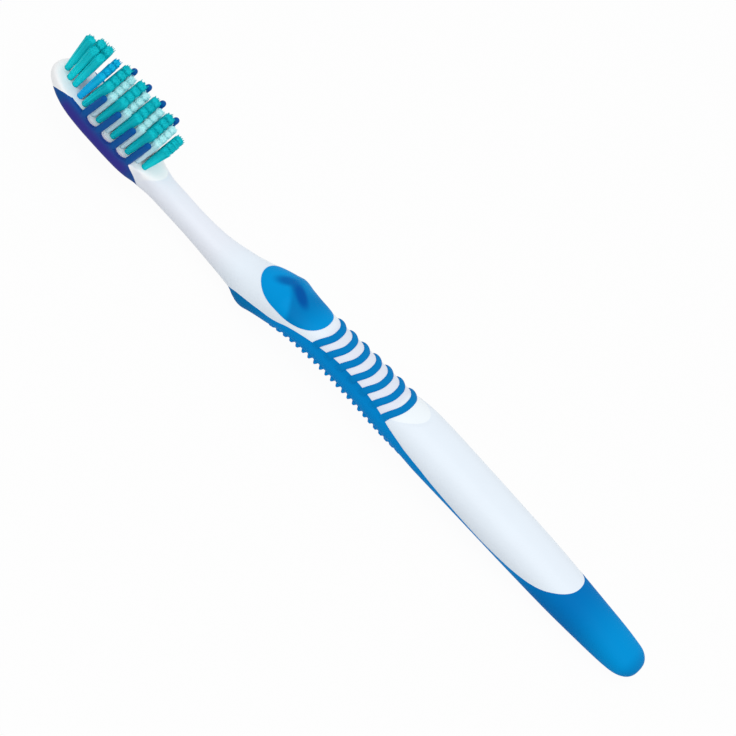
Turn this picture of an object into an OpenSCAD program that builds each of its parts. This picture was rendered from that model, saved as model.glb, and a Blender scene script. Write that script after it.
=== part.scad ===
// Manual toothbrush with a two-colour overmoulded handle.
// It lies on its back: X runs from the head to the tail, Z is up, the bristles point up.
// The origin is on the table under the middle of the brush. Sizes are in millimetres.

/* [Lengths] */
// Head, from the nose to where the neck begins
head_len = 33; // [26:0.5:40]
// Neck, from the head to the heel of the handle
neck_len = 30; // [22:0.5:40]
// Handle, from the heel to the tail end
handle_len = 127; // [105:1:150]

/* [Head] */
// Width of the head over its sleeve
head_w = 12.9; // [12:0.1:15]
// Thickness of the head over its sleeve
head_t = 5.9; // [5.4:0.1:7]
// Tilt of the head, nose up
head_tilt = 5.2; // [0:0.1:8]
// Height of the bristle face above the table at the neck
head_root_z = 9.18; // [8.5:0.01:11]

/* [Neck] */
// Width of the neck at its waist
neck_w = 7.05; // [6:0.05:9]
// Thickness of the neck at its waist
neck_t = 6.2; // [5:0.1:7.5]
// Height of the neck's middle above the table at its waist
neck_z = 5.03; // [4.5:0.01:6]

/* [Handle] */
// Greatest width of the handle
grip_w = 14.4; // [12:0.1:17]
// Height of the thumb rest above the table
grip_h = 14.2; // [12.5:0.1:16]
// Thickness of the soft skin over the tang
skin_t = 1.5; // [1:0.1:2]

/* [Front ribs] */
// Number of soft ribs across the front
rib_count = 7; // [4:1:8]
// Place of the first rib's crown along the handle, in the handle's length
rib_first_share = 0.2006; // [0.19:0.0002:0.23]
// Distance from rib to rib, in the handle's length
rib_pitch_share = 0.0293; // [0.025:0.0001:0.034]
// Width of a rib
rib_w = 1.7; // [1:0.05:2]
// Height of a rib above the white front
rib_rise = 0.4; // [0.2:0.05:0.8]
// Depth that a rib is let into the front
rib_depth = 0.9; // [0.5:0.05:1.2]
// How far the ends of a rib lie headward of its crown
rib_sweep = 2.05; // [1:0.05:4]

/* [Back ridges] */
// Number of ridges across the back
ridge_count = 23; // [10:1:26]
// Place of the first ridge along the handle, in the handle's length
ridge_first_share = 0.1048; // [0.09:0.0002:0.14]
// Distance from ridge to ridge, in the handle's length
ridge_pitch_share = 0.01426; // [0.0125:0.00001:0.0165]
// Width of the highest ridges, in the distance from ridge to ridge
ridge_w_share = 0.74; // [0.5:0.01:0.8]
// Height of the highest ridges
ridge_rise = 0.8; // [0.2:0.05:1]

/* [Thumb pad] */
// Place of the pad's widest section along the handle, in the handle's length
pad_place_share = 0.111; // [0.1:0.0005:0.12]
// Length of the pad headward of that section, in the handle's length
pad_head_share = 0.0857; // [0.07:0.0001:0.09]
// Length of the pad tailward of that section, in the handle's length
pad_tail_share = 0.065; // [0.055:0.0002:0.07]
// White plastic left between the pad and the parting line at that section
pad_margin = 1.85; // [1.5:0.05:3.5]
// Depth of the pad in its pocket
pad_depth = 1.6; // [1:0.1:2.2]
// Depth of the dish in the pad
pad_dish = 0.55; // [0.2:0.05:0.9]
// Height of the lip round the dish
pad_lip = 0.15; // [0.05:0.05:0.3]
// Height that the pad's edge stands proud of the white front
pad_rim = 0.08; // [0.06:0.01:0.2]

/* [Head sleeve] */
// Wall of the sleeve beside the bristle face
sleeve_wall = 1; // [0.8:0.05:1.2]
// Floor of the sleeve on the back of the head
sleeve_floor = 1.5; // [1:0.1:1.8]
// Depth of the hollows in the rim between two fingers
dip_depth = 0.9; // [0.4:0.05:1.2]
// Number of gum fingers on each side
finger_count = 4; // [2:1:4]
// Place of the first finger along the head, in the head's length
finger_first_share = 0.3922; // [0.37:0.0002:0.41]
// Distance from finger to finger, in the head's length
finger_pitch_share = 0.1455; // [0.135:0.0005:0.15]
// Distance from a finger's axis to the side of the head
finger_inset = 0.85; // [0.6:0.01:1]
// Depth of a finger's root under the bristle face
finger_root = 2; // [1.5:0.1:2.5]
// Height of a finger above the bristle face
finger_len = 9.3; // [6:0.1:11]
// Width of a finger
finger_w = 1.75; // [1.2:0.05:1.9]
// How far a finger spreads outward at its tip
finger_spread = 1; // [0:0.05:1.3]

/* [Tufts] */
// Diameter of a tuft hole
tuft_d = 1.6; // [1.3:0.05:1.7]
// Depth of a tuft hole
hole_depth = 3.2; // [2.6:0.1:3.5]
// Plastic left between a tuft hole and the edge of the bristle face
tuft_margin = 0.3; // [0.2:0.05:0.5]
// Place of the point's first tuft along the head, in the head's length
point_first_share = 0.085; // [0.076:0.0002:0.09]
// Distance between the rows of the point, in the head's length
point_pitch_share = 0.0591; // [0.057:0.0001:0.061]
// Place of the blue row along the head, in the head's length
blue_first_share = 0.2838; // [0.27:0.0002:0.29]
// Place of the first teal row along the head, in the head's length
teal_first_share = 0.3451; // [0.338:0.0001:0.35]
// Distance from one teal row to the next, in the head's length
row_pitch_share = 0.1448; // [0.14:0.0002:0.15]
// Distance from a teal row to the clear row behind it, in the head's length
clear_offset_share = 0.0891; // [0.08:0.0001:0.093]
// Distance from the last clear row to the end row, in the head's length
end_offset_share = 0.0654; // [0.058:0.0002:0.07]
// Height of the point's tufts
point_len = 12.2; // [9:0.1:14]
// Height of the blue tufts
blue_len = 10.2; // [8:0.1:12]
// Height of the teal tufts
teal_len = 10.7; // [8:0.1:12]
// Height of the clear tufts
clear_len = 9.4; // [8:0.1:12]
// Height of the end tufts
end_len = 9.3; // [7:0.1:12]
// Width of one bristle strand
strand_w = 0.46; // [0.3:0.02:0.5]
// Open space between the tips of the two closest rows
tip_gap = 0.065; // [0.02:0.005:0.2]

/* [Anchors] */
// Thickness of an anchor plate
anchor_t = 0.3; // [0.2:0.02:0.4]
// Width of an anchor plate, in the hole's diameter
anchor_w_share = 0.84; // [0.6:0.02:0.88]
// Height of an anchor plate
anchor_h = 1.2; // [0.8:0.1:1.4]

/* [Hidden] */
// Points round a section of the body
section_sides = 20;
// Points round a tuft hole, a finger and a dip in the sleeve's rim
hole_sides = 8;
finger_sides = 10;
dip_sides = 12;
// Strands in a tuft: one in the middle and the rest round it
ring_strands = 7;
// Overrun of a cut past a face
overrun = 1;
// Small step for tangents
tiny = 0.01;
// Roundness of the underside of every section, and of the handle's front
back_roundness = 2.3;
front_roundness = 2.2;
face_roundness = 14;
// Angle of the top of a section
top_angle = 90;

brush_len = head_len + neck_len + handle_len;
nose_x = -brush_len / 2;
head_end_x = nose_x + head_len;
handle_x = head_end_x + neck_len;
function along_head(share) = nose_x + share * head_len;
function along_handle(share) = handle_x + share * handle_len;

// Head stations: place along head_len, half width in half head_w, drop of the top and
// depth of the back in head_t, and how square the top is
head_shares = [
  [0, 0.13, 0.27, 0.39, 2.2],
  [0.008, 0.26, 0.19, 0.46, 2.6],
  [0.022, 0.4, 0.11, 0.54, 3.2],
  [0.048, 0.545, 0.045, 0.61, 4.2],
  [0.105, 0.74, 0.01, 0.705, 6],
  [0.17, 0.88, 0, 0.8, 10],
  [0.27, 0.965, 0, 0.93, face_roundness],
  [0.41, 0.995, 0, 1, face_roundness],
  [0.55, 1, 0, 1, face_roundness],
  [0.68, 0.985, 0, 1, face_roundness],
  [0.8, 0.945, 0, 0.995, face_roundness],
  [0.88, 0.865, 0, 0.985, face_roundness],
  [0.95, 0.71, 0.005, 1, 10],
  [1, 0.62, 0.02, 1.04, 5]
];
// Neck stations: place along neck_len, width in neck_w, middle height in neck_z,
// thickness in neck_t
neck_shares = [
  [0.1, 1.014, 1.201, 0.986],
  [0.3, 0.964, 1.098, 0.95],
  [0.53, 0.967, 0.998, 0.953],
  [0.76, 1.105, 0.961, 1.077]
];
// Handle stations: place along handle_len, half width in half grip_w, top and bottom in grip_h
handle_shares = [
  [0, 0.7, 0.677, 0.073],
  [0.014, 0.772, 0.714, 0.02],
  [0.028, 0.828, 0.765, -0.022],
  [0.041, 0.862, 0.817, -0.018],
  [0.057, 0.895, 0.869, 0.05],
  [0.074, 0.916, 0.925, 0.108],
  [0.092, 0.934, 0.985, 0.159],
  [0.116, 0.883, 0.949, 0.229],
  [0.143, 0.833, 0.914, 0.277],
  [0.197, 0.784, 0.9, 0.307],
  [0.286, 0.812, 0.902, 0.286],
  [0.365, 0.884, 0.882, 0.222],
  [0.385, 0.911, 0.901, 0.21],
  [0.413, 0.943, 0.928, 0.194],
  [0.437, 0.955, 0.929, 0.173],
  [0.464, 0.963, 0.922, 0.149],
  [0.552, 0.965, 0.878, 0.117],
  [0.641, 0.953, 0.817, 0.077],
  [0.73, 0.922, 0.762, 0.03],
  [0.809, 0.873, 0.69, -0.004],
  [0.872, 0.798, 0.637, -0.024],
  [0.93, 0.752, 0.567, -0.014],
  [0.963, 0.708, 0.508, 0.02],
  [0.982, 0.62, 0.482, 0.062],
  [0.993, 0.47, 0.437, 0.11],
  [1, 0.24, 0.37, 0.18]
];
// Parting line of white and blue on the sides: place along handle_len, height in grip_h
parting_shares = [
  [0.0016, 0.228],
  [0.0195, 0.336],
  [0.0605, 0.449],
  [0.0885, 0.513],
  [0.108, 0.56],
  [0.126, 0.622],
  [0.16, 0.69],
  [0.203, 0.744],
  [0.229, 0.766],
  [0.267, 0.771],
  [0.3, 0.757],
  [0.34, 0.708],
  [0.369, 0.655],
  [0.407, 0.598],
  [0.427, 0.56],
  [0.468, 0.508],
  [0.5, 0.452],
  [0.556, 0.368],
  [0.603, 0.318],
  [0.645, 0.291],
  [0.697, 0.309],
  [0.734, 0.353],
  [0.757, 0.403],
  [0.775, 0.464],
  [0.792, 0.54],
  [0.8055, 0.6],
  [0.8155, 0.647],
  [0.8225, 0.685]
];

function head_z(x) = head_root_z + (head_end_x - x) * tan(head_tilt);

// Every station as [x, half width, top, bottom, roundness of the top]
stations = concat(
  [for (s = head_shares) let (x = along_head(s[0]))
    [x, s[1] * head_w / 2, head_z(x) - s[2] * head_t, head_z(x) - s[3] * head_t, s[4]]],
  [for (s = neck_shares)
    [head_end_x + s[0] * neck_len, s[1] * neck_w / 2,
      s[2] * neck_z + s[3] * neck_t / 2, s[2] * neck_z - s[3] * neck_t / 2, back_roundness]],
  [for (s = handle_shares)
    [along_handle(s[0]), s[1] * grip_w / 2, s[2] * grip_h, s[3] * grip_h,
      front_roundness]]
);
last = len(stations) - 1;

// Smooth curve through the stations
function slope(i, c) = let (a = max(i - 1, 0), b = min(i + 1, last))
  (stations[b][c] - stations[a][c]) / (stations[b][0] - stations[a][0]);
function curve(i, c, u) = let (
    w = stations[i + 1][0] - stations[i][0],
    u2 = u * u,
    u3 = u2 * u)
  (2 * u3 - 3 * u2 + 1) * stations[i][c] + (u3 - 2 * u2 + u) * w * slope(i, c)
    + (3 * u2 - 2 * u3) * stations[i + 1][c] + (u3 - u2) * w * slope(i + 1, c);
function section_at(x) = let (
    i = max([for (k = [0 : last - 1]) if (k == 0 || stations[k][0] <= x) k]),
    u = (x - stations[i][0]) / (stations[i + 1][0] - stations[i][0]))
  [x, each [for (c = [1 : len(stations[i]) - 1]) curve(i, c, u)], back_roundness];
// A section drawn in all round by a wall
function inset(s, wall) = [s[0], s[1] - wall, s[2] - wall, s[3] + wall, s[4], s[5]];

function spow(v, e) = sign(v) * pow(abs(v), e);
// Roundness of a section on the side of angle t, where 0 is the side and 90 the top
function roundness(s, t) = sin(t) >= 0 ? s[4] : s[5];
// Point of a section at angle t
function section_point(s, t) = let (n = roundness(s, t))
  [s[0], s[1] * spow(cos(t), 2 / n),
    (s[2] + s[3]) / 2 + (s[2] - s[3]) / 2 * spow(sin(t), 2 / n)];
// Outward direction of a section at angle t
function section_normal(s, t) = let (
    n = roundness(s, t),
    v = [0, spow(cos(t), 2 - 2 / n) / s[1], spow(sin(t), 2 - 2 / n) / (s[2] - s[3]) * 2])
  v / norm(v);
// Point of the body's surface, lifted off it
function skin_point(x, t, lift = 0) = let (s = section_at(x))
  section_point(s, t) + lift * section_normal(s, t);
function section_ring(s) = [for (j = [0 : section_sides - 1])
  section_point(s, j * 360 / section_sides)];

function mean(points) = [for (p = points) 1] * points / len(points);
function backward(list) = [for (i = [len(list) - 1 : -1 : 0]) list[i]];

// Closed solid through rings of equal count, each end closed from its middle, or by one
// triangle where the rings have three points
module skin(rings) {
  n = len(rings[0]);
  m = len(rings);
  b = (m - 1) * n;
  triangular = n == 3;
  points = concat([for (r = rings) each r], triangular ? [] : [mean(rings[0]), mean(rings[m - 1])]);
  sides = [for (i = [0 : m - 2], j = [0 : n - 1]) let (k = (j + 1) % n, a = i * n)
    each [[a + j, a + n + j, a + n + k], [a + j, a + n + k, a + k]]];
  ends = triangular ? [[0, 1, 2], [b + 2, b + 1, b]]
    : [for (j = [0 : n - 1]) let (k = (j + 1) % n) each [[m * n, j, k], [m * n + 1, b + k, b + j]]];
  polyhedron(points = points, faces = concat(sides, ends));
}

// Places of the body's rings: each station, and one between each two past the head
ring_places = [for (i = [0 : last]) each
  (i < len(head_shares) || i == last || stations[i + 1][0] - stations[i][0] < grip_w / 2
    ? [stations[i][0]]
    : [stations[i][0], (stations[i][0] + stations[i + 1][0]) / 2])];

// Outer form of the brush without bristles, fingers and ribs, cut flat where it rests
module body_form() {
  intersection() {
    skin([for (x = ring_places) section_ring(section_at(x))]);
    translate([nose_x - overrun, -grip_w, 0]) {
      cube([brush_len + 2 * overrun, 2 * grip_w, 2 * grip_h]);
    }
  }
}

// Rear grip

heel_share = -0.004;
tang_end_share = 0.948;
parting = [for (p = parting_shares) [along_handle(p[0]), p[1] * grip_h]];

// Space under the parting line, from the heel to the tail
module grip_zone() {
  tail = -nose_x + overrun;
  translate([0, grip_w, 0]) {
    rotate([90, 0, 0]) {
      linear_extrude(2 * grip_w) {
        polygon(concat(
          [[along_handle(heel_share), -overrun]],
          parting,
          [[parting[len(parting) - 1][0], grip_h + overrun], [tail, grip_h + overrun],
            [tail, -overrun]]));
      }
    }
  }
}

// White tang inside the soft skin
tang_shares = [-0.005, 0.03, 0.06, 0.095, 0.14, 0.2, 0.29, 0.4, 0.51, 0.62, 0.73, 0.83, 0.9,
  tang_end_share];
module tang() {
  skin([for (p = tang_shares)
    section_ring(inset(section_at(along_handle(p)), skin_t))]);
}

rib_span_angle = 68;
rib_steps = 9;
rib_bend = 2.4;
rib_reach = 1.1;
// Outline of a rib across its run: place in rib_w, height in rib_rise, 0 at the surface
rib_shares = [[-0.5, 0], [-0.3, 0.8], [0, 1], [0.3, 0.8], [0.5, 0]];
// Foot of a rib, from its start to its end: place along the half span, width in rib_w, height
foot_shares = [[0.8, 0.92, 0.92], [1.06, 1.15, 0.9]];

function rib_bow(u) = pow(sin(top_angle * min(1, abs(u) / rib_reach)), rib_bend);
function rib_path(k, u) = [
  along_handle(rib_first_share + k * rib_pitch_share) - rib_sweep * rib_bow(u),
  top_angle - rib_span_angle * u];
function rib_ring(k, u, wide = 1, high = 1) = let (
    here = rib_path(k, u),
    ahead = rib_path(k, u + tiny),
    run = skin_point(ahead[0], ahead[1]) - skin_point(here[0], here[1]),
    up = section_normal(section_at(here[0]), here[1]),
    side = cross(run, up) / norm(cross(run, up)),
    p = skin_point(here[0], here[1]))
  concat(
    [p - side * wide * rib_w / 2 - up * rib_depth * high],
    [for (q = rib_shares) p + side * wide * q[0] * rib_w + up * high * q[1] * rib_rise],
    [p + side * wide * rib_w / 2 - up * rib_depth * high]);

// Foot of a rib, where it widens into the strip
module rib_foot(k, way) {
  hull() {
    skin([for (f = way > 0 ? foot_shares : backward(foot_shares))
      rib_ring(k, way * f[0], f[1], f[2])]);
  }
}

module ribs() {
  for (k = [0 : rib_count - 1]) {
    skin([for (i = [-rib_steps : 2 : rib_steps]) rib_ring(k, i / rib_steps)]);
    rib_foot(k, -1);
    rib_foot(k, 1);
  }
}

ridge_start_angle = -147;
ridge_end_angle = -33;
ridge_steps = 5;
ridge_root = 0.3;
// Width of the lowest ridges, and of the crown of the highest and of the lowest
ridge_low_w_share = 0.94;
ridge_crown_share = 0.16;
ridge_low_crown_share = 0.6;
// Ridges rise fast from the heel's end and fade slowly toward the tail
ridge_skew = 0.8;
ridge_bend = 0.7;
function ridge_height_share(k) =
  pow(sin(180 * pow((k + 0.5) / ridge_count, ridge_skew)), ridge_bend);
function ridge_half(k, high_share, low_share) = let (h = ridge_height_share(k))
  ridge_pitch_share * handle_len * (high_share * h + low_share * (1 - h)) / 2;
function ridge_ring(k, t) = let (
    x = along_handle(ridge_first_share + k * ridge_pitch_share),
    foot = ridge_half(k, ridge_w_share, ridge_low_w_share),
    crown = ridge_half(k, ridge_crown_share, ridge_low_crown_share),
    rise = ridge_rise * ridge_height_share(k))
  [skin_point(x - foot, t, -ridge_root), skin_point(x + foot, t, -ridge_root),
    skin_point(x + crown, t, rise), skin_point(x - crown, t, rise)];

module ridges() {
  for (k = [0 : ridge_count - 1]) {
    skin([for (i = [0 : ridge_steps]) let (u = i / ridge_steps)
      ridge_ring(k, ridge_start_angle * (1 - u) + ridge_end_angle * u)]);
  }
}

module rear_grip() {
  color("dodgerblue") {
    difference() {
      union() {
        intersection() {
          body_form();
          grip_zone();
        }
        ribs();
        ridges();
      }
      tang();
    }
  }
}

// Thumb pad

pad_steps = 24;
// Roundness of the pad's outline headward and tailward of its widest place
pad_head_roundness = 1.85;
pad_tail_roundness = 2;
// Rings of the pad's face and floor, from its middle to its edge
pad_ring_shares = [0.15, 0.35, 0.55, 0.75, 0.9, 1];
pad_floor_shares = [0.35, 0.75, 1];
pad_air_share = 0.98;
pad_air_drop_share = 0.25;
pad_lip_bend = 3;
pad_dish_bend = 1.3;

// Angle of the pad's side, a margin above the parting line
pad_section = section_at(along_handle(pad_place_share));
pad_side_share = (lookup(pad_section[0], parting) + pad_margin - pad_section[3])
  / (pad_section[2] - pad_section[3]) * 2 - 1;
pad_side_angle = asin(spow(pad_side_share, front_roundness / 2));

function pad_place(r, a) = let (tailward = cos(a) > 0,
    n = tailward ? pad_tail_roundness : pad_head_roundness,
    reach = tailward ? pad_tail_share : pad_head_share)
  [along_handle(pad_place_share + reach * r * spow(cos(a), 2 / n)),
    top_angle - (top_angle - pad_side_angle) * r * spow(sin(a), 2 / n)];
function pad_lift(r) = pad_rim + pad_lip * sin(180 * pow(r, pad_lip_bend))
  - pad_dish * pow(1 - r * r, pad_dish_bend);
function pad_ring(r, lift) = [for (j = [0 : pad_steps - 1])
  let (p = pad_place(r, j * 360 / pad_steps))
  skin_point(p[0], p[1], lift)];
pad_face = [for (r = pad_ring_shares) pad_ring(r, pad_lift(r))];

module pad_form() {
  skin(concat([for (r = pad_floor_shares) pad_ring(r, -pad_depth)], backward(pad_face)));
}

// Open space over the pad, so that its dish isn't filled by the white front
module pad_air() {
  low = pad_depth * pad_air_drop_share;
  skin(concat(
    [for (r = pad_ring_shares) pad_ring(r * pad_air_share, pad_lift(r) - low)],
    [for (r = backward(pad_floor_shares)) pad_ring(r * pad_air_share, overrun)]));
}

module thumb_pad() {
  color("deepskyblue") {
    pad_form();
  }
}

// Head sleeve

// Rim of the sleeve in side view: place along head_len, height over the bristle face in head_t
rim_shares = [[0.1, -0.5], [0.118, -0.37], [0.175, -0.17], [0.22, -0.06], [0.265, 0.04],
  [0.825, 0.04], [0.86, -0.12], [0.915, -0.36], [0.975, -0.74], [1.005, -1.2]];

module sleeve_zone() {
  rim = [for (p = rim_shares) let (x = along_head(p[0])) [x, head_z(x) + p[1] * head_t]];
  translate([0, head_w, 0]) {
    rotate([90, 0, 0]) {
      linear_extrude(2 * head_w) {
        polygon(concat([[rim[0][0], -overrun]], rim, [[rim[len(rim) - 1][0], -overrun]]));
      }
    }
  }
}

// White plate inside the sleeve, with upright sides and a square back
plate_roundness = 9;
plate_back_roundness = 6;
plate_shares = [0.012, 0.056, 0.112, 0.18, 0.28, 0.42, 0.56, 0.69, 0.81, 0.885, 0.955, 1.01];
function plate_half(x) = section_at(x)[1] - sleeve_wall;
module head_plate() {
  skin([for (p = plate_shares) let (x = along_head(p))
    section_ring([x, plate_half(x), head_z(x) + head_t - sleeve_floor,
      head_z(x) - head_t + sleeve_floor, plate_roundness, plate_back_roundness])]);
}

// Space that the sleeve takes out of the head
module sleeve_space() {
  difference() {
    sleeve_zone();
    head_plate();
  }
}

// Puts what follows on the bristle face
module on_face(x, y) {
  translate([x, y, head_z(x)]) {
    rotate([0, head_tilt, 0]) {
      children();
    }
  }
}

function finger_x(k) = along_head(finger_first_share + k * finger_pitch_share);

finger_lean_angle = 2.5;
module finger(k) {
  on_face(finger_x(k), section_at(finger_x(k))[1] - finger_inset) {
    rotate([0, finger_lean_angle, 0]) {
      hull() {
        translate([0, 0, -finger_root]) {
          cylinder(h = finger_root / 2, d = finger_w, $fn = finger_sides);
        }
        translate([0, finger_spread, finger_len - finger_w / 2]) {
          sphere(d = finger_w, $fn = finger_sides);
        }
      }
    }
  }
}

module dips() {
  for (k = [0 : finger_count - 2]) {
    on_face((finger_x(k) + finger_x(k + 1)) / 2, 0) {
      scale([(finger_x(1) - finger_x(0) - finger_w) / 2, head_w, dip_depth]) {
        rotate([90, 0, 0]) {
          cylinder(h = 2, r = 1, center = true, $fn = dip_sides);
        }
      }
    }
  }
}

module fingers() {
  for (k = [0 : finger_count - 1]) {
    finger(k);
    mirror([0, 1, 0]) {
      finger(k);
    }
  }
}

module head_sleeve() {
  color("midnightblue") {
    difference() {
      intersection() {
        body_form();
        sleeve_space();
      }
      dips();
    }
    difference() {
      fingers();
      intersection() {
        body_form();
        head_plate();
      }
    }
  }
}

// Lean of the tufts toward the tail
point_lean_angles = [-6.2, -4.5, -4.5, -3.5, -3.5];
blue_lean_angle = -0.5;
teal_lean_angle = 3.8;
clear_lean_angle = 0;
end_lean_angle = 4.2;

point_names = ["point_tuft_1", "point_tuft_2", "point_tuft_3", "point_tuft_4", "point_tuft_5"];
// Row and side of each tuft of the point
point_row_counts = [0, 1, 1, 2, 2];
point_side_shares = [0, -0.47, 0.47, -0.47, 0.47];
column_shares = [-1, -1 / 3, 1 / 3, 1];
// Width of the rows in the room beside the sleeve
blue_width_share = 0.75;
row_width_share = 0.87;
end_width_share = 1;
row_count = 4;
end_place_share = teal_first_share + clear_offset_share + (row_count - 1) * row_pitch_share
  + end_offset_share;

// How much of the room to the next row the tips fill, and of the room to the next column
point_open_share = 0.95;
teal_open_share = 0.9;
clear_open_share = 0.3;
side_open_share = 0.65;
// Splay of a tuft whose tips fill a share of the room that they have
function splay(room, share) = 1 + share * ((room - tip_gap - strand_w) / (tuft_d - strand_w) - 1);
point_room = head_len * point_pitch_share
  + point_len * (tan(point_lean_angles[3]) - tan(point_lean_angles[1]));
row_room = head_len * clear_offset_share - clear_len * (tan(teal_lean_angle) - tan(clear_lean_angle));

// Tufts, as [name, x, y, height, lean, colour, splay along the brush, splay across it]
function column_y(x) = plate_half(x) - tuft_d / 2 - tuft_margin;
function row_tufts(label, place_share, length, lean, tint, width_share, open_share) =
  let (x = along_head(place_share),
    half_row = column_y(x) * width_share,
    side_room = half_row * (column_shares[1] - column_shares[0]))
  [for (c = [0 : len(column_shares) - 1])
    [str(label, "_", c + 1), x, column_shares[c] * half_row, length, lean, tint,
      splay(row_room, open_share), splay(side_room, side_open_share)]];

point_tufts = [for (i = [0 : len(point_names) - 1])
  let (x = along_head(point_first_share + point_row_counts[i] * point_pitch_share),
    side_room = column_y(x) * (point_side_shares[2] - point_side_shares[1]))
  [point_names[i], x, point_side_shares[i] * column_y(x), point_len, point_lean_angles[i],
    "darkturquoise", splay(point_room, point_open_share), splay(side_room, side_open_share)]];
blue_tufts = row_tufts("blue_tuft", blue_first_share, blue_len, blue_lean_angle, "deepskyblue",
  blue_width_share, clear_open_share);
teal_tufts = [for (r = [0 : row_count - 1]) each
  row_tufts(str("teal_tuft_", r + 1), teal_first_share + r * row_pitch_share, teal_len,
    teal_lean_angle, "lightseagreen", row_width_share, teal_open_share)];
clear_tufts = [for (r = [0 : row_count - 1]) each
  row_tufts(str("clear_tuft_", r + 1), teal_first_share + clear_offset_share + r * row_pitch_share,
    clear_len, clear_lean_angle, "lightcyan", row_width_share, clear_open_share)];
end_tufts = row_tufts("end_tuft", end_place_share, end_len, end_lean_angle, "lightseagreen",
  end_width_share, teal_open_share);
tufts = concat(point_tufts, blue_tufts, teal_tufts, clear_tufts, end_tufts);

module at_tuft(t) {
  on_face(t[1], t[2]) {
    rotate([0, t[4], 0]) {
      children();
    }
  }
}

// Round bar of a tuft hole's width, with a flat toward each side
module bore(h) {
  rotate([0, 0, 180 / hole_sides]) {
    cylinder(h = h, d = tuft_d, $fn = hole_sides);
  }
}

module tuft_hole(t) {
  at_tuft(t) {
    translate([0, 0, -hole_depth]) {
      bore(hole_depth + overrun);
    }
  }
}

strand_sides = 3;
strand_root = 0.2;
function strand_centre(i) = i == 0 ? [0, 0]
  : (tuft_d / 2 - strand_w / 2) * [cos(i * 360 / ring_strands), sin(i * 360 / ring_strands)];
function strand_ring(i, z, along = 1, across = 1) = [for (j = [0 : strand_sides - 1])
  let (c = strand_centre(i), a = j * 360 / strand_sides)
  [c[0] * along + strand_w / 2 * cos(a), c[1] * across + strand_w / 2 * sin(a), z]];

// Bundle of strands on its folded root, which fills the hole down to the anchor
module tuft(t) {
  root = hole_depth - anchor_h;
  color(t[5]) {
    at_tuft(t) {
      translate([0, 0, -root]) {
        bore(root);
      }
      for (i = [0 : ring_strands]) {
        skin([strand_ring(i, -strand_root), strand_ring(i, t[3], t[6], t[7])]);
      }
    }
  }
}

// Metal plate at the foot of each hole
anchor_w = anchor_w_share * tuft_d;
module tuft_anchors() {
  color("darkgoldenrod") {
    for (t = tufts) {
      at_tuft(t) {
        translate([-anchor_t / 2, -anchor_w / 2, -hole_depth]) {
          cube([anchor_t, anchor_w, anchor_h]);
        }
      }
    }
  }
}

module handle_core() {
  color("white") {
    difference() {
      body_form();
      difference() {
        union() {
          grip_zone();
          ribs();
        }
        tang();
      }
      sleeve_space();
      pad_form();
      pad_air();
      for (t = tufts) {
        tuft_hole(t);
      }
    }
  }
}

handle_core();
rear_grip();
thumb_pad();
head_sleeve();
tuft_anchors();
for (t = tufts) tuft(t);
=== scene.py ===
import math
import random
from collections import namedtuple

import bmesh
import bpy
import numpy as np
from mathutils import Matrix, Vector


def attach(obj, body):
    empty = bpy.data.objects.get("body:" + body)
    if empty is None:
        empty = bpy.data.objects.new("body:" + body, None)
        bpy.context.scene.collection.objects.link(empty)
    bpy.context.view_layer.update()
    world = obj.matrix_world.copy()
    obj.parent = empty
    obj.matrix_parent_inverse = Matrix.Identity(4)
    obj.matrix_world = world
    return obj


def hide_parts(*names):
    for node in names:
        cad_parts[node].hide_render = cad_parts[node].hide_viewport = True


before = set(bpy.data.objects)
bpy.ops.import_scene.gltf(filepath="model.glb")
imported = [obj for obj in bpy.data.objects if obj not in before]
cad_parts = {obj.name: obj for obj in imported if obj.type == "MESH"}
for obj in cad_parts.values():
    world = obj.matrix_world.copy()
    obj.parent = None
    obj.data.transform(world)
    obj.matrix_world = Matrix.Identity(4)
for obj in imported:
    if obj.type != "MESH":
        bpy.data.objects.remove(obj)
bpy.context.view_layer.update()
scene = bpy.context.scene

MM = 0.001
DEG = math.pi / 180

# Sizes of the part, in millimetres, as its source has them
HEAD_LEN, NECK_LEN, HANDLE_LEN = 33.0, 30.0, 127.0
HEAD_W, HEAD_T, HEAD_TILT, HEAD_ROOT_Z = 12.9, 5.9, 5.2, 9.18
NECK_W, NECK_T, NECK_Z = 7.05, 6.2, 5.03
GRIP_W, GRIP_H, SKIN_T = 14.4, 14.2, 1.5
NOSE_X = -(HEAD_LEN + NECK_LEN + HANDLE_LEN) / 2
HEAD_END_X = NOSE_X + HEAD_LEN
HANDLE_X = HEAD_END_X + NECK_LEN
TAIL_X = -NOSE_X
BACK_ROUNDNESS, FRONT_ROUNDNESS, FACE_ROUNDNESS = 2.3, 2.2, 14.0
# How far a cutting shape runs past what it cuts
OVERRUN = 1.0
# Points of a section of the body, and the angles, in degrees, from which an edge stays sharp
SECTION_SIDES = 96
SHARP_ANGLE, BRISTLE_SHARP_ANGLE = 32, 60

# Head sections: place in the head's length, half width in half its width, drop of the top and
# depth of the back in its thickness, and how square the top is
HEAD_SHARES = [
    (0, 0.13, 0.27, 0.39, 2.2), (0.008, 0.26, 0.19, 0.46, 2.6), (0.022, 0.4, 0.11, 0.54, 3.2),
    (0.048, 0.545, 0.045, 0.61, 4.2), (0.105, 0.74, 0.01, 0.705, 6), (0.17, 0.88, 0, 0.8, 10),
    (0.27, 0.965, 0, 0.93, FACE_ROUNDNESS), (0.41, 0.995, 0, 1, FACE_ROUNDNESS),
    (0.55, 1, 0, 1, FACE_ROUNDNESS), (0.68, 0.985, 0, 1, FACE_ROUNDNESS),
    (0.8, 0.945, 0, 0.995, FACE_ROUNDNESS), (0.88, 0.865, 0, 0.985, FACE_ROUNDNESS),
    (0.95, 0.71, 0.005, 1, 10), (1, 0.62, 0.02, 1.04, 5),
]
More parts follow.
